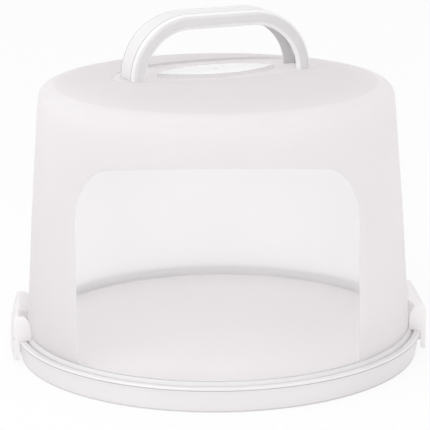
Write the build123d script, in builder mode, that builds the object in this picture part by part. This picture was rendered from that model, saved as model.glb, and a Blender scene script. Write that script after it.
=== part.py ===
"""A round cake carrier: a white tray, a tall frosted cover with a carrying handle, and two side latches.

Millimetres, +Z up. The origin is on the table at the middle of the tray, and the latches lie on the X axis.
"""
import math
import os

from build123d import *

# Tray
rim_radius = 150.0  # outer edge of the rolled rim
rim_height = 18.0  # top of the rim above the table
rim_width = 5.0  # flat top of the rim, from its edge to the cover's flange
rim_bead_height = 2.6  # rolled bead round the edge of the rim
rim_bead_step = 0.8  # how far the bead stands out over the skirt
skirt_draft = 2.7  # how much the skirt draws in from the bead to the foot
tray_wall = 2.2
seat_depth = 4.0  # the flange seat lies this far below the top of the rim
plate_rise = 1.5  # the cake plate stands this far above the flange seat
plate_gap = 3.5  # from the edge of the cake plate to the inside of the cover
foot_ring_radius = 70.0
rib_count = 12
rib_height = 6.0
rib_thickness = 1.8
rim_edge_bevel = 1.1
seat_edge_bevel = 0.7

# Cover
cover_wall = 2.0
cover_taper = 13.0  # how much the wall draws in from the flange to the shoulder
cover_shoulder_height = 198.0  # where wall and crown would meet if the corner were sharp
cover_bulge = 0.65  # the wall stands out this much at half height, where its draft changes
shoulder_rounding = 10.0
inner_shoulder_bevel = 6.0
crown_rise = 11.2
crown_flat_radius = 64.0
crown_blend = 70.0
flange_reach = 3.4  # how far the flange stands out past the wall, with a top that slopes at 45 degrees
flange_edge_height = 2.6
flange_gap = 0.4  # flange to the rim's upstand

# Finger well in the crown, with its raised pad
well_depth = 2.7
well_half_width = 38.6
well_end_margin = 8.0  # floor of the well beyond the handle's feet
well_wall_slope = 30.0
pad_half_length = 45.0
pad_half_width = 17.5
pad_draft = 1.2  # how far the pad's foot stands out past its top
gate_mark_radius = 1.5  # moulding mark in the middle of the pad
gate_mark_depth = 0.5

# Handle, a moulded channel that opens downwards and inwards
lid_turn = 18.0  # the cover as it was set down, turned on the tray about the vertical
handle_half_span = 69.0
handle_rise = 42.8  # top of the handle above the crown
handle_corner_radius = 45.0
handle_width = 28.0
handle_depth = 11.0
handle_wall = 2.4
handle_edge_bevel = 3.2
band_margin = 5.0  # plain border each side of the sunk band on the outer face
band_depth = 0.4
tongue_width = 14.0
tongue_gap = 0.3
barb_height = 3.0
barb_reach = 1.1

# Latches
latch_stand_off = 3.6  # outer face of the latch past the rim
latch_half_length = 34.0
latch_bottom = 2.4
latch_height = 38.0
latch_corner_rounding = 6.0  # corners of the latch, seen from its side of the tray
latch_wall = 1.8
latch_bend_height = 24.0  # the outer face leans inwards from here up
latch_bend_radius = 18.0
latch_lean = 4.9  # how far it has leaned in at the top edge, a straight line across the latch
latch_edge_rounding = 1.6
latch_end_wall = 2.2
cheek_drop = 16.0  # the end walls' round top falls this far towards the cover
hook_thickness = 3.0
hook_gap = 0.3  # hook to the top of the rim and to the flange
latch_cover_gap = 0.8  # end walls and hook to the cover
latch_rim_gap = 0.4

# Hinge of each latch: a bar moulded across a notch in the skirt, and a snap-on clip
hinge_inset = 5.4  # bar centre to the outer face of the latch
hinge_height = 6.3
hinge_bar_radius = 1.5
hinge_bore_gap = 0.1
clip_wall = 1.6
clip_mouth = 2.4
clip_half_length = 10.7
clip_side_gap = 0.3
lug_thickness = 3.0
lug_radius = 2.4
notch_top_gap = 0.9

cut_over = 1.0  # how far a cut or a blank runs on past the face that it shapes

# Heights and radii that follow from the sizes above
seat_height = rim_height - seat_depth
plate_height = seat_height + plate_rise
rim_inner_radius = rim_radius - rim_width
skirt_top_radius = rim_radius - rim_bead_step
foot_radius = skirt_top_radius - skirt_draft
flange_radius = rim_inner_radius - flange_gap
cover_foot_radius = flange_radius - flange_reach
cover_inner_radius = cover_foot_radius - cover_wall
cover_shoulder_radius = cover_foot_radius - cover_taper
cover_foot_height = seat_height + flange_edge_height + flange_reach
plate_radius = cover_inner_radius - plate_gap
crown_height = cover_shoulder_height + crown_rise
handle_top = crown_height + handle_rise
well_floor = crown_height - well_depth
well_half_length = handle_half_span + well_end_margin
latch_radius = rim_radius + latch_stand_off
latch_top_reach = latch_radius - latch_lean
hinge_x = latch_radius - hinge_inset
clip_radius = hinge_bar_radius + hinge_bore_gap + clip_wall
hook_bottom = rim_height + hook_gap
hook_top = hook_bottom + hook_thickness
latch_inner_radius = latch_radius - latch_wall
cover_side_radius = cover_foot_radius + latch_cover_gap  # end walls and hook of the latches stop here
latch_root = math.sqrt(cover_side_radius**2 - latch_half_length**2)  # the end walls' reach along X

# Planes of the turned cover: one flat, one upright along the handle
turn = math.radians(lid_turn)
lid_plane = Plane(origin=(0, 0, 0), x_dir=(math.cos(turn), math.sin(turn), 0), z_dir=(0, 0, 1))
handle_plane = Plane(
    origin=(0, 0, 0),
    x_dir=(math.cos(turn), math.sin(turn), 0),
    z_dir=(math.sin(turn), -math.cos(turn), 0),
)


def rounded_outline(*corners):
    """A closed outline through corners given as (across, up, rounding radius)."""
    places = [(across, up) for across, up, rounding in corners]
    FilletPolyline(*places, radius=[rounding for across, up, rounding in corners], close=True)


def arch_corners(inset, foot):
    """Corners of the handle's arch, drawn in from its outer face by inset, for rounded_outline."""
    half_span = handle_half_span - inset
    top = handle_top - inset
    radius = handle_corner_radius - inset
    return [(-half_span, foot, 0), (-half_span, top, radius), (half_span, top, radius), (half_span, foot, 0)]


def pointed_oval(half_length, half_width):
    """A lens outline with a point at each end, made of two arcs."""
    ThreePointArc((-half_length, 0), (0, half_width), (half_length, 0))
    ThreePointArc((-half_length, 0), (0, -half_width), (half_length, 0))


# Tray: skirt, rolled rim, flange seat and raised plate in one thin section, with ribs underneath
bead_bottom = rim_height - rim_bead_height
under_seat = seat_height - tray_wall
under_plate = plate_height - tray_wall
skirt_inner_radius = foot_radius - tray_wall + skirt_draft * under_seat / bead_bottom
with BuildPart() as base_tray:
    with BuildSketch(Plane.XZ) as base_section:
        with BuildLine():
            Polyline(
                (0, plate_height),
                (plate_radius, plate_height),
                (plate_radius + plate_rise, seat_height),
                (rim_inner_radius, seat_height),
                (rim_inner_radius, rim_height),
                (rim_radius, rim_height),
                (rim_radius, bead_bottom),
                (skirt_top_radius, bead_bottom),
                (foot_radius, 0),
                (foot_radius - tray_wall, 0),
                (skirt_inner_radius, under_seat),
                (plate_radius, under_seat),
                (plate_radius - plate_rise, under_plate),
                (0, under_plate),
                close=True,
            )
        make_face()
        rim_corners = base_section.vertices().group_by(Axis.Y)[-1].sort_by(Axis.X)
        chamfer(rim_corners[0], seat_edge_bevel)
        chamfer(rim_corners[-1], rim_edge_bevel)
    revolve(axis=Axis.Z)
    with BuildSketch(Plane.XY):
        Circle(foot_ring_radius + rib_thickness / 2)
        Circle(foot_ring_radius - rib_thickness / 2, mode=Mode.SUBTRACT)
    extrude(amount=plate_height - tray_wall / 2)
    rib_length = plate_radius - plate_rise - foot_ring_radius
    with BuildSketch(Plane.XY.offset(under_plate - rib_height)):
        with PolarLocations(foot_ring_radius + rib_length / 2, rib_count, start_angle=180 / rib_count):
            Rectangle(rib_length, rib_thickness)
    extrude(amount=rib_height + tray_wall / 2)
    for side in (-1, 1):
        lug_half_span = clip_half_length + clip_side_gap + lug_thickness
        lug_root = hinge_x - foot_radius + tray_wall
        with BuildSketch(Plane.XZ):
            with Locations((side * hinge_x, hinge_height)):
                Circle(lug_radius)
            with Locations((side * (hinge_x - lug_root / 2), hinge_height)):
                Rectangle(lug_root, 2 * lug_radius)
        extrude(amount=lug_half_span, both=True)
        notch_height = hinge_height + clip_radius + notch_top_gap
        with BuildSketch(Plane.XZ):
            with Locations((side * hinge_x, notch_height / 2)):
                Rectangle(4 * clip_radius, notch_height)
        extrude(amount=clip_half_length + clip_side_gap, both=True, mode=Mode.SUBTRACT)
        with BuildSketch(Plane.XZ):
            with Locations((side * hinge_x, hinge_height)):
                Circle(hinge_bar_radius)
        extrude(amount=lug_half_span, both=True)

# Hollow of the cover: its outside drawn in by the wall, less the underside of the finger well
inner_shoulder = (cover_shoulder_radius - cover_wall, cover_shoulder_height - cover_wall)
with BuildPart() as cover_hollow:
    with BuildSketch(Plane.XZ) as hollow_section:
        with BuildLine():
            Polyline(
                (0, seat_height - cut_over),
                (cover_inner_radius, seat_height - cut_over),
                (cover_inner_radius, cover_foot_height),
                inner_shoulder,
                (crown_flat_radius, crown_height - cover_wall),
                (0, crown_height - cover_wall),
                close=True,
            )
        make_face()
        chamfer(hollow_section.vertices().sort_by_distance(inner_shoulder)[0], inner_shoulder_bevel)
    revolve(axis=Axis.Z)
    with BuildSketch(lid_plane.offset(well_floor - cover_wall)):
        Ellipse(well_half_length + cover_wall, well_half_width + cover_wall)
    extrude(amount=well_depth + 2 * cover_wall, taper=-well_wall_slope, mode=Mode.SUBTRACT)
    with BuildSketch(lid_plane.offset(well_floor - 2 * cover_wall)):
        with BuildLine():
            pointed_oval(pad_half_length - 2 * cover_wall, pad_half_width - cover_wall)
        make_face()
    extrude(amount=well_depth + cover_wall)

# Cover: tall tapering wall, rounded shoulder, crown with the finger well, and a sloped flange at the foot
shoulder = (cover_shoulder_radius, cover_shoulder_height)
wall_middle_radius = (cover_foot_radius + cover_shoulder_radius) / 2 + cover_bulge
wall_middle_height = (cover_foot_height + cover_shoulder_height) / 2
with BuildPart() as dome_cover:
    with BuildSketch(Plane.XZ) as cover_section:
        with BuildLine():
            Polyline(
                (0, seat_height),
                (flange_radius, seat_height),
                (flange_radius, seat_height + flange_edge_height),
                (cover_foot_radius, cover_foot_height),
                (wall_middle_radius, wall_middle_height),
                shoulder,
                (crown_flat_radius, crown_height),
                (0, crown_height),
                close=True,
            )
        make_face()
        fillet(cover_section.vertices().sort_by_distance(shoulder)[0], shoulder_rounding)
        edge_of_flat = cover_section.vertices().sort_by_distance((crown_flat_radius, crown_height))[0]
        fillet(edge_of_flat, crown_blend)
    revolve(axis=Axis.Z)
    with BuildSketch(lid_plane.offset(well_floor)):
        Ellipse(well_half_length, well_half_width)
    extrude(amount=well_depth + cover_wall, taper=-well_wall_slope, mode=Mode.SUBTRACT)
    with BuildSketch(lid_plane.offset(well_floor)):
        with BuildLine():
            pointed_oval(pad_half_length + pad_draft, pad_half_width + pad_draft)
        make_face()
    with BuildSketch(lid_plane.offset(crown_height)):
        with BuildLine():
            pointed_oval(pad_half_length, pad_half_width)
        make_face()
    loft()
    with BuildSketch(lid_plane.offset(crown_height - gate_mark_depth)):
        Circle(gate_mark_radius)
    extrude(amount=gate_mark_depth, mode=Mode.SUBTRACT)
    add(cover_hollow.part, mode=Mode.SUBTRACT)
    with BuildSketch(lid_plane.offset(well_floor - 2 * cover_wall)):
        for end in (-1, 1):
            with Locations((end * (handle_half_span - handle_wall / 2), 0)):
                Rectangle(handle_wall + 2 * tongue_gap, tongue_width + 2 * tongue_gap)
    extrude(amount=3 * cover_wall, mode=Mode.SUBTRACT)

# Handle: an arch of channel section with bevelled outer edges, a sunk band, and a barbed tongue at each foot
with BuildPart() as carry_handle:
    with BuildSketch(handle_plane):
        with BuildLine():
            rounded_outline(*arch_corners(0, well_floor), *reversed(arch_corners(handle_depth, well_floor)))
        make_face()
    extrude(amount=handle_width / 2, both=True)
    outer_arcs = carry_handle.edges().filter_by(GeomType.CIRCLE).group_by(SortBy.RADIUS)[-1]
    chamfer(outer_arcs, handle_edge_bevel)
    with BuildSketch(handle_plane):
        with BuildLine():
            rounded_outline(*arch_corners(handle_wall, well_floor))
        make_face()
    extrude(amount=handle_width / 2 - handle_wall, both=True, mode=Mode.SUBTRACT)
    with BuildSketch(handle_plane):
        with BuildLine():
            rounded_outline(
                *arch_corners(-cut_over, well_floor), *reversed(arch_corners(band_depth, well_floor))
            )
        make_face()
    extrude(amount=handle_width / 2 - band_margin, both=True, mode=Mode.SUBTRACT)
    barb_top = well_floor - cover_wall - tongue_gap
    with BuildSketch(handle_plane):
        for end in (-1, 1):
            with BuildLine():
                Polyline(
                    (end * (handle_half_span - handle_wall), well_floor),
                    (end * (handle_half_span - handle_wall), barb_top - barb_height),
                    (end * (handle_half_span - handle_wall / 2), barb_top - barb_height),
                    (end * (handle_half_span + barb_reach), barb_top),
                    (end * (handle_half_span - band_depth), barb_top),
                    (end * (handle_half_span - band_depth), well_floor),
                    close=True,
                )
            make_face()
    extrude(amount=tongue_width / 2, both=True)

# Inside of the latch: the finger pocket over the hook, and the space under it for the rim
lean = math.atan2(latch_radius - latch_top_reach, latch_height - latch_bend_height)
inner_top_reach = latch_top_reach - latch_wall / math.cos(lean)
inner_bend_height = latch_bend_height - latch_wall * math.tan(lean / 2)
with BuildPart() as latch_hollow:
    with BuildSketch(Plane.XZ):
        with BuildLine():
            rounded_outline(
                (latch_inner_radius, 0, 0),
                (latch_inner_radius, inner_bend_height, latch_bend_radius - latch_wall),
                (inner_top_reach, latch_height, 0),
                (inner_top_reach, latch_height + cut_over, 0),
                (latch_root - cut_over, latch_height + cut_over, 0),
                (latch_root - cut_over, 0, 0),
            )
        make_face()
        with Locations((latch_radius, hook_bottom)):
            Rectangle(
                2 * latch_half_length, hook_thickness, align=(Align.MAX, Align.MIN), mode=Mode.SUBTRACT
            )
    extrude(amount=latch_half_length - latch_end_wall, both=True)
    with BuildSketch(Plane.XY):
        Circle(latch_inner_radius)
    extrude(amount=latch_height + cut_over, mode=Mode.INTERSECT)

# Latch: a shell whose outer face is round below and leans in to a straight top edge, two end walls with a
# quarter-round top, a hook that lies over rim and flange, and the hinge clip
with BuildPart() as right_latch:
    with BuildSketch(Plane.XZ):
        with BuildLine():
            rounded_outline(
                (latch_radius, latch_bottom, latch_edge_rounding),
                (latch_radius, latch_bend_height, latch_bend_radius),
                (latch_top_reach, latch_height, latch_wall / 2),
                (latch_root - cut_over, latch_height, 0),
                (latch_root - cut_over, latch_bottom, 0),
            )
        make_face()
    extrude(amount=latch_half_length, both=True)
    with BuildSketch(Plane.XY):
        Circle(latch_radius)
        Circle(cover_side_radius, mode=Mode.SUBTRACT)
    extrude(amount=latch_height, mode=Mode.INTERSECT)
    end_edges = right_latch.edges().filter_by(Axis.Z).group_by(Axis.X)[-1]
    fillet(end_edges, latch_edge_rounding)
    with BuildSketch(Plane.YZ):
        with Locations((0, (latch_height + latch_bottom) / 2)):
            RectangleRounded(2 * latch_half_length, latch_height - latch_bottom, latch_corner_rounding)
    extrude(amount=latch_radius, mode=Mode.INTERSECT)
    with BuildSketch(Plane.XY):
        Circle(rim_radius + latch_rim_gap)
    extrude(amount=hook_bottom, mode=Mode.SUBTRACT)
    add(latch_hollow.part, mode=Mode.SUBTRACT)
    cone_height = flange_radius + seat_height + flange_edge_height + hook_gap * math.sqrt(2)
    cone_inner_radius = cover_side_radius - cut_over
    with BuildSketch(Plane.XZ):
        with BuildLine():
            Polyline(
                (cone_height - hook_bottom, hook_bottom),
                (cone_inner_radius, hook_bottom),
                (cone_inner_radius, cone_height - cone_inner_radius),
                close=True,
            )
        make_face()
    revolve(axis=Axis.Z, mode=Mode.SUBTRACT)
    with BuildSketch(Plane.XZ):
        with Locations((inner_top_reach, latch_height - cheek_drop)):
            Rectangle(2 * latch_half_length, 2 * cheek_drop, align=(Align.MAX, Align.MIN))
            Ellipse(inner_top_reach - latch_root, cheek_drop, mode=Mode.SUBTRACT)
    extrude(amount=latch_half_length, both=True, mode=Mode.SUBTRACT)
    clip_reach = latch_radius - latch_wall / 2 - hinge_x
    with BuildSketch(Plane.XZ):
        with Locations((hinge_x, hinge_height)):
            Circle(clip_radius)
            Rectangle(clip_reach, 2 * (clip_radius - clip_wall / 2), align=(Align.MIN, Align.CENTER))
            Circle(hinge_bar_radius + hinge_bore_gap, mode=Mode.SUBTRACT)
            Rectangle(clip_radius, clip_mouth, align=(Align.MAX, Align.CENTER), mode=Mode.SUBTRACT)
    extrude(amount=clip_half_length, both=True)

# The other latch is the same moulding, turned half a turn about the middle of the tray
with BuildPart() as left_latch:
    add(right_latch.part, rotation=(0, 0, 180))

base_tray.part.label = "base_tray"
dome_cover.part.label = "dome_cover"
carry_handle.part.label = "carry_handle"
right_latch.part.label = "right_latch"
left_latch.part.label = "left_latch"

os.makedirs("parts", exist_ok=True)
export_step(base_tray.part, "parts/base_tray.step")
export_step(dome_cover.part, "parts/dome_cover.step")
export_step(carry_handle.part, "parts/carry_handle.step")
export_step(right_latch.part, "parts/right_latch.step")
export_step(left_latch.part, "parts/left_latch.step")
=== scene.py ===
"""Looks of a round cake carrier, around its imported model: materials, floor, light and camera."""
import math

import bmesh
import bpy
from mathutils import Matrix, Vector


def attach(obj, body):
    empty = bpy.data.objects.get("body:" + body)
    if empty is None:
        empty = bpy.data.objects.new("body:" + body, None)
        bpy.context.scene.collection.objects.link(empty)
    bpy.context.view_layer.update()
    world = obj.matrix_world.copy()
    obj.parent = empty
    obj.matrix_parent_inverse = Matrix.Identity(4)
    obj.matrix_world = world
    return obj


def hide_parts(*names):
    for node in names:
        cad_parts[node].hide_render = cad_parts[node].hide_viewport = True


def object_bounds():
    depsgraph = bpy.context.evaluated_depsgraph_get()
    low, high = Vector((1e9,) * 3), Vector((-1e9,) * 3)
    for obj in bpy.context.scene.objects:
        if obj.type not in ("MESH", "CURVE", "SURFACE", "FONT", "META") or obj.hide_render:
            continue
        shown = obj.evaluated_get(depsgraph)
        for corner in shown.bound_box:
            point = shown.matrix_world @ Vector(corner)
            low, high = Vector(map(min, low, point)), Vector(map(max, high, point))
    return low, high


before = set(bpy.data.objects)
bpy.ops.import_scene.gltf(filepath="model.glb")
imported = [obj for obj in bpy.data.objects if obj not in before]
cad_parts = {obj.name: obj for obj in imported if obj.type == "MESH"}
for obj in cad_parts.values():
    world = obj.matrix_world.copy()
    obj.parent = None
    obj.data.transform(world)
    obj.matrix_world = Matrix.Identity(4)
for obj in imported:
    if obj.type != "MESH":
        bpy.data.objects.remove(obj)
cad_low, cad_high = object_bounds()

# Camera, fitted to the outlines of tray and cover. The photograph looks at the cover a little from the left.
camera_side = math.radians(-4.0)  # turned from straight ahead, about the vertical
camera_rise = math.radians(14.9)
camera_distance = 1.5
camera_roll = math.radians(-0.47)
camera_aim = Vector((0, 0, 0.09))
sensor_width = 36.0  # in millimetres, as is the focal length
focal_length = 170.7
shift_across = -0.0056
shift_up = 0.0314

# Directions on the floor, as the camera sees them: towards the camera and to its right
towards_camera = Vector((math.sin(camera_side), -math.cos(camera_side), 0))
camera_right = Vector((math.cos(camera_side), math.sin(camera_side), 0))

# Directions of the lid, which is turned on the tray: along its handle, and across it to the back
lid_turn = math.radians(18.0)
lid_along = Vector((math.cos(lid_turn), math.sin(lid_turn), 0))
lid_across = Vector((-math.sin(lid_turn), math.cos(lid_turn), 0))

# Clear window of the cover: an arch, polished straight through from the front
window_half_width = 0.099
window_top = 0.132  # where the line of sight to the window's top edge crosses the cover's middle
window_corner_across = 0.025
window_corner_up = 0.039
window_line = 0.0007  # bright edge where polish meets frosting
window_foot = 0.0198  # the flange under it stays frosted
clear_alpha = (0.05, 0.9)  # seen straight on, and edge-on

# Finger well in the crown: an oval with a sloping wall, and a raised pad shaped as a lens of two arcs
crown_from = 0.2
well_half_length = 0.0773
well_half_width = 0.039
well_wall = 0.036  # share of its radius that the sloping wall takes up
pad_arc_radius = 0.0666
pad_arc_offset = 0.0491
pad_level = 0.2086

# The well's wall has painted shade, stronger towards its long sides: distance from the lid's long axis, and
# the painted shade's strength there
wall_shade_distance = (0.014, 0.034)
wall_shade = (0.3, 2.6)

# Handle: its arch as in model.glb
handle_half_span = 0.069
handle_corner_radius = 0.045
handle_foot = 0.2065
handle_foot_rise = 0.0005  # from the foot to where the arch begins to bend
handle_arc_steps = 32
sharp_angle = math.radians(18.0)  # edges that turn more than this stay sharp

# Handle: half of its section as (inset from the outer face, distance from its middle). It runs from the edge
# of the outer face's sunken band, over bevel, flank and lip, to the corner inside the channel.
handle_half_section = [
    (0.0004, 0.0088),
    (0.0, 0.0092),
    (0.0, 0.0105),
    (0.00015, 0.01095),
    (0.00305, 0.01385),
    (0.0035, 0.014),
    (0.0081, 0.014),
    (0.0085, 0.01385),
    (0.0105, 0.0122),
    (0.0109, 0.0119),
    (0.011, 0.0117),
    (0.0108, 0.0116),
    (0.0034, 0.0116),
    (0.0024, 0.0106),
]

# Handle: a barbed tongue under each foot, as (inset from the outer face, depth below the foot)
tongue_outline = [
    (0.0024, -0.001),
    (0.0024, 0.0053),
    (0.0012, 0.0053),
    (-0.0011, 0.0023),
    (0.0004, 0.0023),
    (0.0004, -0.001),
]
tongue_half_width = 0.007

# Handle: zones of painted shade and painted highlight on its material, by distance from its middle and by how
# squarely a face looks sideways
flank_distance = 0.0136  # sideways faces further out are flanks, nearer ones line the channel
# Painted shade line on the outer face, beside the bevel: its distance from the middle and its width
shade_line_distance = 0.0101
shade_line_width = 0.0009
bevel_middle = 0.0125  # the bevel's half nearer the outer face gets a painted highlight
bevel_fade = 0.0003
flank_facing = 0.9
bevel_facing = 0.5
level_facing = 0.3
handle_centre = (0, 0, 0.212)
channel_shade_from = 0.003  # inside, the channel has painted shade up to this far from the outer face
channel_shade_to = 0.0065

# Fine lines of painted shade: under the rim's rounded edge, a painted contact shadow at its foot, and where
# the cover's flange meets it
rim_shadow_height = 0.0163
rim_shadow_width = 0.0009
foot_shadow_height = 0.0014
flange_shadow_radius = 0.1437
flange_shadow_width = 0.0004

# Strengths of the painted shade lines, as shares of the dark tone
handle_shade_line_strength = 0.7
rim_shadow_strength = 0.75
foot_shadow_strength = 0.35
flange_shadow_strength = 0.32

# Colours of the plastics, and tones of painted shade and painted highlight. Cloudiness moves each plastic
# between two close tones.
tray_tones = ((0.92, 0.895, 0.902, 1), (0.945, 0.92, 0.926, 1))
latch_tones = ((0.955, 0.943, 0.948, 1), (0.975, 0.963, 0.967, 1))
handle_tones = ((0.93, 0.918, 0.92, 1), (0.96, 0.948, 0.95, 1))
# Painted shade: the handle's flanks are greyer than the rest of it
flank_shade_tones = ((0.78, 0.767, 0.772, 1), (0.83, 0.817, 0.822, 1))
frosted_tones = ((0.955, 0.945, 0.95, 1), (0.975, 0.966, 0.97, 1))
channel_shade_tones = ((0.85, 0.84, 0.84, 1), (0.99, 0.985, 0.985, 1))  # painted shade deep in the channel, fading to a lighter tone near its edge
# Painted shade on the channel's inward faces
channel_floor_shade_tone = (0.8, 0.79, 0.79, 1)
# Painted highlight on the handle's bevels and inner lips
bevel_highlight_tone = (0.995, 0.99, 0.99, 1)
# Painted shade line on the handle's outer face
handle_shade_line_tone = (0.3, 0.3, 0.305, 1)
# Painted shade on the crown around the well
crown_shade_tone = (0.9, 0.887, 0.893, 1)
# Painted shade on the well's wall
well_wall_shade_tone = (0.62, 0.61, 0.615, 1)
pad_tone = (0.99, 0.988, 0.985, 1)
clear_tone = (0.97, 0.97, 0.97, 1)
# Painted shade for the fine lines on tray and cover, and for the painted contact shadow at the tray's foot
painted_shade_tone = (0.4, 0.39, 0.395, 1)
crown_shade_strength = 0.6  # share of the crown's painted shade tone around the well

# Surface of the plastics. Noise is given in features to a metre, and bumps are as deep as real ones.
plastic_ior = 1.49
cloud_span = (0.3, 0.7)  # noise over which a plastic goes from one tone to the other
flow_span = (0.25, 0.75)  # noise over which it goes from its lowest roughness to its highest
skin_scale = 1800.0
frost_scale = 2600.0
frost_depth = 0.00004
handle_grain = 0.00002
handle_flow_depth = 0.00006
handle_roughness = (0.2, 0.28)
flank_roughness = 0.38
frosted_roughness = (0.42, 0.5)
clear_roughness = 0.06
pad_roughness = 0.14
pad_coat_roughness = 0.08

# Shares of light that comes through from behind
handle_through = 0.2
channel_through = 0.6  # near the edges of the channel's sides
frosted_through = 0.85
flange_density = 0.7  # the cover's flange is this much closer to opaque

# Surroundings: floor, and light by how far its direction leans sideways or upwards
plain_white = (1, 1, 1, 1)
floor_radius = 6.0
floor_gap = 0.0002  # keeps the floor just clear of the object's foot
floor_tone = (0.9, 0.9, 0.9, 1)
floor_glow = 0.85  # share of plain white in the floor where it is seen directly
sideways_lean, sideways_light = (0.3, 1.0), (1.0, 0.89)
upwards_lean, upwards_light = (0.1, 1.0), (1.01, 0.9)
background_light = 0.985  # where it is seen directly
lamp_aim = Vector((0, 0, 0.1))


class Graph:
    """Builds the nodes of one material or world."""

    def __init__(self, owner):
        owner.use_nodes = True
        self.tree = owner.node_tree
        self.tree.nodes.clear()

    def add(self, kind, *values, **settings):
        """Adds a node, sets its properties, and links or sets its inputs in order."""
        node = self.tree.nodes.new(kind)
        for name, value in settings.items():
            setattr(node, name, value)
        for index, value in enumerate(values):
            self.put(node.inputs[index], value)
        return node

    def put(self, socket, value):
        """Links a socket to an output, or sets its value. None leaves it alone."""
        if isinstance(value, bpy.types.NodeSocket):
            self.tree.links.new(value, socket)
        elif value is not None:
            socket.default_value = value

    def maths(self, operation, *values):
        """One step of arithmetic."""
        return self.add("ShaderNodeMath", *values, operation=operation).outputs[0]

    def product(self, first, second):
        """First times second."""
        return self.maths("MULTIPLY", first, second)

    def larger(self, first, second):
        """The larger of two values."""
        return self.maths("MAXIMUM", first, second)

    def less(self, first, second):
        """1 where first is less than second, 0 elsewhere."""
        return self.maths("LESS_THAN", first, second)

    def more(self, first, second):
        """1 where first is more than second, 0 elsewhere."""
        return self.maths("GREATER_THAN", first, second)

    def difference(self, first, second):
        """First minus second."""
        return self.maths("SUBTRACT", first, second)

    def other(self, mask):
        """1 where a mask is 0, and 0 where it is 1."""
        return self.difference(1.0, mask)

    def hypotenuse(self, first, second):
        """Length of the long side of a right triangle."""
        squares = self.maths("ADD", self.product(first, first), self.product(second, second))
        return self.maths("SQRT", squares)

    def mix(self, factor, first, second):
        """Mixes two colours by a factor."""
        node = self.add("ShaderNodeMix", data_type="RGBA")
        for name, value in (("Factor_Float", factor), ("A_Color", first), ("B_Color", second)):
            self.put(next(socket for socket in node.inputs if socket.identifier == name), value)
        return next(socket for socket in node.outputs if socket.identifier == "Result_Color")

    def range(self, value, low, high, to_low=0.0, to_high=1.0):
        """Maps low..high to another range, clamped."""
        return self.add("ShaderNodeMapRange", value, low, high, to_low, to_high).outputs[0]

    def place(self):
        """Coordinates in the piece's own frame, in metres."""
        return self.add("ShaderNodeTexCoord").outputs["Object"]

    def height(self):
        """Height above the floor at rest."""
        return self.add("ShaderNodeSeparateXYZ", self.place()).outputs[2]

    def outwards(self):
        """Direction that a face looks in."""
        return self.add("ShaderNodeNewGeometry").outputs["True Normal"]

    def flattened(self):
        """Place with its height left out, so it points straight away from the object's axis."""
        return self.add("ShaderNodeVectorMath", self.place(), (1, 1, 0), operation="MULTIPLY").outputs[0]

    def dot(self, vector, direction):
        """How far a vector goes in a direction, given as a vector or another output."""
        node = self.add("ShaderNodeVectorMath", vector, direction, operation="DOT_PRODUCT")
        return node.outputs["Value"]

    def aside(self, direction):
        """Distance of a place from the plane through the axis that is square to a direction."""
        return self.maths("ABSOLUTE", self.dot(self.place(), direction))

    def noise(self, scale, detail=2.0, stretch=(1, 1, 1)):
        """Noise from 0 to 1 with about scale features to a metre."""
        mapping = self.add("ShaderNodeMapping", self.place())
        mapping.inputs["Scale"].default_value = stretch
        node = self.add("ShaderNodeTexNoise", mapping.outputs[0])
        node.inputs["Scale"].default_value = scale
        node.inputs["Detail"].default_value = detail
        return node.outputs[0]

    def cloudy(self, scale, tones):
        """A plastic's colour, moved between two close tones by soft clouds."""
        return self.mix(self.range(self.noise(scale), *cloud_span), *tones)

    def uneven(self, flow, lowest, highest):
        """A roughness that varies with the flow marks."""
        return self.range(flow, *flow_span, lowest, highest)

    def bump(self, height, distance, below=None):
        """Bump of a height field, distance in metres, on top of another bump."""
        node = self.add("ShaderNodeBump")
        node.inputs["Distance"].default_value = distance
        self.put(node.inputs["Height"], height)
        self.put(node.inputs["Normal"], below)
        return node.outputs["Normal"]

    def plastic(self, **inputs):
        """A principled shader with the named inputs, spaces written as underscores."""
        node = self.add("ShaderNodeBsdfPrincipled")
        node.inputs["IOR"].default_value = plastic_ior
        for name, value in inputs.items():
            self.put(node.inputs[name.replace("_", " ")], value)
        return node.outputs[0]

    def translucent(self, colour, normal):
        """Light that comes through from behind."""
        return self.add("ShaderNodeBsdfTranslucent", colour, normal).outputs[0]

    def blend(self, share, first, second):
        """Mixes two shaders by a share."""
        return self.add("ShaderNodeMixShader", share, first, second).outputs[0]

    def surface(self, shader):
        """Ends a material in this shader."""
        output = self.add("ShaderNodeOutputMaterial")
        self.put(output.inputs["Surface"], shader)


def new_material(name):
    """An empty material and its graph."""
    material = bpy.data.materials.new(name)
    return material, Graph(material)


def dress(node, material):
    """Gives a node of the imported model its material."""
    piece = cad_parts[node]
    piece.data.materials.clear()
    piece.data.materials.append(material)
    for polygon in piece.data.polygons:
        polygon.material_index = 0


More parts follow.
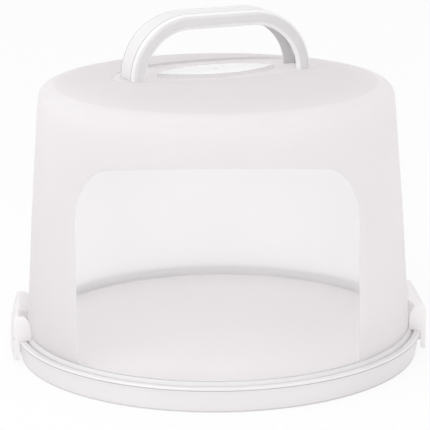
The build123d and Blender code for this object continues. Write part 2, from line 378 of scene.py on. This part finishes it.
def moulded_white(name, tones, roughness, grain, flow_depth, through, through_inside=None, lined=False):
    """Glossy white plastic: faint cloudiness, flow marks and a very fine skin, with some light through it.

    Faces towards the object's axis can let another share of the light through. A lined piece has a fine
    line of painted shade all round under the rim's rounded edge, and a painted contact shadow at its foot.
    """
    material, graph = new_material(name)
    colour = graph.cloudy(9.0, tones)
    flow = graph.noise(60.0, detail=4.0, stretch=(1, 1, 4))
    skin = graph.noise(skin_scale)
    # Painted shade: a dark line under the rim's rounded edge, and a painted contact shadow at the foot
    if lined:
        height = graph.height()
        off_rim_shadow = graph.maths("ABSOLUTE", graph.difference(height, rim_shadow_height))
        in_rim_shadow = graph.range(off_rim_shadow, rim_shadow_width / 4, rim_shadow_width / 2, rim_shadow_strength, 0.0)
        in_foot_shadow = graph.range(height, foot_shadow_height / 2, foot_shadow_height, foot_shadow_strength, 0.0)
        colour = graph.mix(graph.larger(in_rim_shadow, in_foot_shadow), colour, painted_shade_tone)
    dull = graph.uneven(flow, *roughness)
    normal = graph.bump(skin, grain, below=graph.bump(flow, flow_depth))
    solid = graph.plastic(Base_Color=colour, Roughness=dull, Normal=normal)
    if through_inside:
        inside = graph.less(graph.dot(graph.outwards(), graph.flattened()), 0.0)
        through = graph.range(inside, 0.0, 1.0, through, through_inside)
    graph.surface(graph.blend(through, solid, graph.translucent(colour, normal)))
    return material


def handle_inset(graph):
    """Distance of a point from the handle's outer face, measured inwards."""
    past_middle = graph.difference(graph.aside(lid_along), handle_half_span - handle_corner_radius)
    past_foot = graph.difference(graph.height(), handle_foot + handle_foot_rise)
    from_corner = graph.hypotenuse(graph.larger(past_middle, 0.0), graph.larger(past_foot, 0.0))
    return graph.difference(handle_corner_radius, from_corner)


def handle_plastic():
    """Satin white plastic: greyer flanks and a darker inside as painted shade, bright bevels as painted
    highlights, and a fine painted shade line beside them.
    """
    material, graph = new_material("handle_plastic")
    facing = graph.maths("ABSOLUTE", graph.dot(graph.outwards(), lid_across))
    across = graph.aside(lid_across)
    edge = graph.range(handle_inset(graph), channel_shade_from, channel_shade_to)

    # Zones of painted shade and highlight: flanks, the channel's sides, bevels, faces that look inwards, and
    # the painted shade line on the outer face
    outside = graph.more(across, flank_distance)
    sideways = graph.more(facing, flank_facing)
    flank = graph.product(sideways, outside)
    lining = graph.product(sideways, graph.other(outside))
    sloping = graph.product(graph.more(facing, bevel_facing), graph.less(facing, flank_facing))
    from_centre = graph.add("ShaderNodeVectorMath", graph.place(), handle_centre, operation="SUBTRACT")
    inward = graph.less(graph.dot(graph.outwards(), from_centre.outputs[0]), 0.0)
    off_shade_line = graph.maths("ABSOLUTE", graph.difference(across, shade_line_distance))
    line = graph.product(graph.less(off_shade_line, shade_line_width / 2), graph.less(facing, level_facing))

    # Painted highlight on the bevels' outer halves and the inner lips; painted shade on flanks and steep
    # faces, deep in the channel and in the fine line
    near_face = graph.range(across, bevel_middle - bevel_fade, bevel_middle + bevel_fade, 1.0, 0.0)
    bright = graph.product(sloping, graph.larger(near_face, graph.product(inward, edge)))
    grey = graph.larger(flank, graph.range(facing, level_facing, bevel_facing))
    tone = graph.mix(grey, graph.cloudy(14.0, handle_tones), graph.cloudy(14.0, flank_shade_tones))
    tone = graph.mix(bright, tone, bevel_highlight_tone)
    tone = graph.mix(graph.product(inward, graph.other(edge)), tone, channel_floor_shade_tone)
    tone = graph.mix(lining, tone, graph.mix(edge, *channel_shade_tones))
    tone = graph.mix(graph.product(line, handle_shade_line_strength), tone, handle_shade_line_tone)

    flow = graph.noise(60.0, detail=4.0, stretch=(1, 1, 4))
    skin = graph.noise(skin_scale)
    dull = graph.range(flank, 0.0, 1.0, graph.uneven(flow, *handle_roughness), flank_roughness)
    normal = graph.bump(skin, handle_grain, below=graph.bump(flow, handle_flow_depth))
    solid = graph.plastic(Base_Color=tone, Roughness=dull, Normal=normal)
    through = graph.range(graph.product(lining, edge), 0.0, 1.0, handle_through, channel_through)
    graph.surface(graph.blend(through, solid, graph.translucent(tone, normal)))
    return material


def window_zone(graph):
    """How far a point is into the cover's clear window: 0 at its middle, 1 at its edge, more outside."""
    across = graph.aside(camera_right)
    ahead = graph.dot(graph.place(), towards_camera)
    level = graph.difference(graph.height(), graph.product(ahead, math.tan(camera_rise)))
    side = graph.range(across, window_half_width - window_corner_across, window_half_width)
    top = graph.range(level, window_top - window_corner_up, window_top)
    beyond = graph.larger(graph.more(across, window_half_width), graph.more(level, window_top))
    outside = graph.larger(beyond, graph.less(ahead, 0.0))
    return graph.maths("ADD", graph.hypotenuse(side, top), outside)


def pad_zone(graph):
    """1 on top of the raised pad, 0 elsewhere."""
    reach = graph.maths("ADD", graph.aside(lid_across), pad_arc_offset)
    from_arc = graph.hypotenuse(graph.dot(graph.place(), lid_along), reach)
    return graph.product(graph.less(from_arc, pad_arc_radius), graph.more(graph.height(), pad_level))


def well_ring(graph):
    """How far out a point is across the finger well's sloping wall: 0 at its foot, 1 at its top edge."""
    along = graph.dot(graph.place(), lid_along / well_half_length)
    across = graph.dot(graph.place(), lid_across / well_half_width)
    return graph.range(graph.hypotenuse(along, across), 1.0, 1.0 + well_wall)


def cover_plastic():
    """Frosted translucent plastic with a polished clear window, and painted shade on the crown, the well's
    wall and the flange's edge.
    """
    material, graph = new_material("cover_plastic")

    # Zones: the clear window, the bright line round it, the pad, and painted shade on the well's wall, on the
    # crown around it and at the flange's edge
    zone = window_zone(graph)
    height = graph.height()
    wall = graph.more(height, window_foot)
    clear = graph.product(wall, graph.less(zone, 1.0 - window_line / window_corner_across))
    frosted = graph.other(clear)
    line = graph.product(graph.less(zone, 1.0), graph.product(wall, frosted))
    pad = pad_zone(graph)
    ring = well_ring(graph)
    crown = graph.more(height, crown_from)
    around_well = graph.product(crown, graph.more(ring, 0.0))
    # Painted shade on the well's wall, stronger towards its long sides
    well_wall_shade = graph.product(graph.product(ring, graph.other(ring)), crown)
    well_wall_shade = graph.product(well_wall_shade, graph.range(graph.aside(lid_across), *wall_shade_distance, *wall_shade))
    # Painted shade: a fine dark ring at the flange's edge, where it meets the tray's rim
    radius = graph.add("ShaderNodeVectorMath", graph.flattened(), operation="LENGTH").outputs["Value"]
    flange_shadow_start = flange_shadow_radius - flange_shadow_width
    flange_shadow_mask = graph.range(radius, flange_shadow_start, flange_shadow_radius, 0.0, flange_shadow_strength)

    frosted_tone = graph.cloudy(7.0, frosted_tones)
    # Painted shade on the crown around the well, on the well's wall and at the flange's edge
    frosted_tone = graph.mix(graph.product(around_well, crown_shade_strength), frosted_tone, crown_shade_tone)
    frosted_tone = graph.mix(well_wall_shade, frosted_tone, well_wall_shade_tone)
    frosted_tone = graph.mix(flange_shadow_mask, frosted_tone, painted_shade_tone)
    frosted_tone = graph.mix(pad, frosted_tone, pad_tone)
    tone = graph.mix(graph.larger(clear, line), frosted_tone, clear_tone)

    flow = graph.noise(40.0, detail=3.0, stretch=(1, 1, 3))
    dull = graph.range(pad, 0.0, 1.0, graph.uneven(flow, *frosted_roughness), pad_roughness)
    frost = graph.product(graph.noise(frost_scale), frosted)
    normal = graph.bump(frost, frost_depth)
    facing = graph.add("ShaderNodeLayerWeight").outputs["Facing"]
    glass = graph.range(graph.maths("POWER", facing, 4.0), 0.0, 1.0, *clear_alpha)
    skin = graph.plastic(
        Base_Color=tone,
        Roughness=graph.range(clear, 0.0, 1.0, dull, clear_roughness),
        Alpha=graph.maths("ADD", graph.product(clear, glass), frosted),
        Normal=normal,
        Coat_Weight=pad,
        Coat_Roughness=pad_coat_roughness,
    )
    dense = graph.larger(pad, graph.product(graph.other(wall), flange_density))
    through = graph.range(graph.larger(clear, dense), 0.0, 1.0, frosted_through, 0.0)
    graph.surface(graph.blend(through, skin, graph.translucent(frosted_tone, normal)))
    return material


def handle_stations():
    """Points of the arch's outer line, each with its direction inwards, as (x, z, inward x, inward z)."""
    straight = handle_half_span - handle_corner_radius
    stations = [(-handle_half_span, handle_foot, 1.0, 0.0)]
    for side, first, last in ((-1, math.pi, math.pi / 2), (1, math.pi / 2, 0.0)):
        for step in range(handle_arc_steps + 1):
            angle = first + (last - first) * step / handle_arc_steps
            across, up = math.cos(angle), math.sin(angle)
            x = side * straight + handle_corner_radius * across
            z = cad_high[2] - handle_corner_radius * (1 - up)
            stations.append((x, z, -across, -up))
    stations.append((handle_half_span, handle_foot, -1.0, 0.0))
    return stations


def bridge(mesh, first, second):
    """Joins two closed rings of points by a band of faces."""
    for index in range(len(first)):
        beside = (index + 1) % len(first)
        mesh.faces.new((first[index], first[beside], second[beside], second[index]))


def build_handle():
    """The handle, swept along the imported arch, with the sloping lips and soft edges of the real moulding."""
    mesh = bmesh.new()
    section = handle_half_section + [(inset, -across) for inset, across in reversed(handle_half_section)]
    rings = []
    for x, z, inward_x, inward_z in handle_stations():
        places = [(x + inset * inward_x, -across, z + inset * inward_z) for inset, across in section]
        rings.append([mesh.verts.new(place) for place in places])
    for ring, following in zip(rings, rings[1:]):
        bridge(mesh, ring, following)
    mesh.faces.new(reversed(rings[0]))
    mesh.faces.new(rings[-1])

    for end in (-1, 1):
        near, far = [], []
        for inset, depth in tongue_outline:
            x, z = end * (handle_half_span - inset), handle_foot - depth
            near.append(mesh.verts.new((x, -tongue_half_width, z)))
            far.append(mesh.verts.new((x, tongue_half_width, z)))
        bridge(mesh, near, far)
        mesh.faces.new(near)
        mesh.faces.new(far)

    bmesh.ops.recalc_face_normals(mesh, faces=mesh.faces)
    for face in mesh.faces:
        face.smooth = True
    for edge in mesh.edges:
        edge.smooth = len(edge.link_faces) == 2 and edge.calc_face_angle(0.0) < sharp_angle
    bmesh.ops.rotate(mesh, verts=mesh.verts, cent=(0, 0, 0), matrix=Matrix.Rotation(lid_turn, 3, "Z"))

    data = bpy.data.meshes.new("handle")
    mesh.to_mesh(data)
    mesh.free()
    handle = bpy.data.objects.new("handle", data)
    bpy.context.collection.objects.link(handle)
    data.materials.append(handle_plastic())
    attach(handle, "cover")
    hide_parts("carry_handle")


def seen_directly(graph):
    """1 for what the camera sees, straight, in a reflection or through clear plastic."""
    path = graph.add("ShaderNodeLightPath").outputs
    seen = graph.larger(path["Is Camera Ray"], path["Is Transmission Ray"])
    return graph.larger(seen, path["Is Glossy Ray"])


def build_floor():
    """Plain white floor that fades into the background and keeps the object's soft shadow."""
    under = (0, 0, -floor_gap)
    bpy.ops.mesh.primitive_circle_add(vertices=96, radius=floor_radius, fill_type="NGON", location=under)
    floor = bpy.context.object
    floor.name = "floor"
    material, graph = new_material("floor_white")
    lit = graph.add("ShaderNodeBsdfDiffuse", floor_tone).outputs[0]
    glow = graph.add("ShaderNodeEmission", plain_white).outputs[0]
    graph.surface(graph.blend(graph.product(seen_directly(graph), floor_glow), lit, glow))
    floor.data.materials.append(material)


def build_world():
    """White light, a little weaker from the sides and from above, but even where it is seen directly."""
    world = bpy.data.worlds.new("surroundings")
    bpy.context.scene.world = world
    graph = Graph(world)
    direction = graph.add("ShaderNodeSeparateXYZ", graph.add("ShaderNodeTexCoord").outputs["Generated"])
    sideways = graph.maths("ABSOLUTE", direction.outputs[0])
    from_sides = graph.range(sideways, *sideways_lean, *sideways_light)
    from_above = graph.range(direction.outputs[2], *upwards_lean, *upwards_light)
    light = graph.product(from_sides, from_above)
    strength = graph.range(seen_directly(graph), 0.0, 1.0, light, background_light)
    background = graph.add("ShaderNodeBackground", plain_white, strength)
    output = graph.add("ShaderNodeOutputWorld")
    graph.put(output.inputs["Surface"], background.outputs[0])


def add_lamp(name, place, size, watts):
    """A soft square lamp, aimed at the cover."""
    lamp = bpy.data.lights.new(name, "AREA")
    lamp.shape = "SQUARE"
    lamp.size = size
    lamp.energy = watts
    holder = bpy.data.objects.new(name, lamp)
    bpy.context.collection.objects.link(holder)
    holder.location = place
    holder.rotation_euler = (lamp_aim - holder.location).to_track_quat("-Z", "Y").to_euler()


def build_camera():
    """The photograph's camera."""
    data = bpy.data.cameras.new("camera")
    data.sensor_width = sensor_width
    data.lens = focal_length
    data.shift_x = shift_across
    data.shift_y = shift_up
    data.clip_start = 0.05
    data.clip_end = 50.0
    camera = bpy.data.objects.new("camera", data)
    bpy.context.collection.objects.link(camera)
    back = towards_camera * math.cos(camera_rise) + Vector((0, 0, math.sin(camera_rise)))
    camera.location = camera_aim + back * camera_distance
    level_turn = (-back).to_track_quat("-Z", "Y").to_matrix()
    camera.rotation_euler = (level_turn @ Matrix.Rotation(camera_roll, 3, "Z")).to_euler()
    bpy.context.scene.camera = camera


tray_plastic = moulded_white(
    "tray_plastic",
    tray_tones,
    roughness=(0.18, 0.27),
    grain=0.00001,
    flow_depth=0.00006,
    through=0.15,
    lined=True,
)
latch_plastic = moulded_white(
    "latch_plastic",
    latch_tones,
    roughness=(0.26, 0.35),
    grain=0.000004,
    flow_depth=0.00001,
    through=0.48,
    through_inside=0.85,
)
dress("base_tray", tray_plastic)
dress("dome_cover", cover_plastic())
build_handle()
for latch in ("right_latch", "left_latch"):
    dress(latch, latch_plastic)

build_floor()
build_world()
add_lamp("top_lamp", (-0.55, -0.35, 1.0), size=0.5, watts=1.7)
add_lamp("front_lamp", (-0.4, -1.7, 0.9), size=0.9, watts=4.5)
build_camera()

bpy.context.scene.view_settings.view_transform = "Standard"
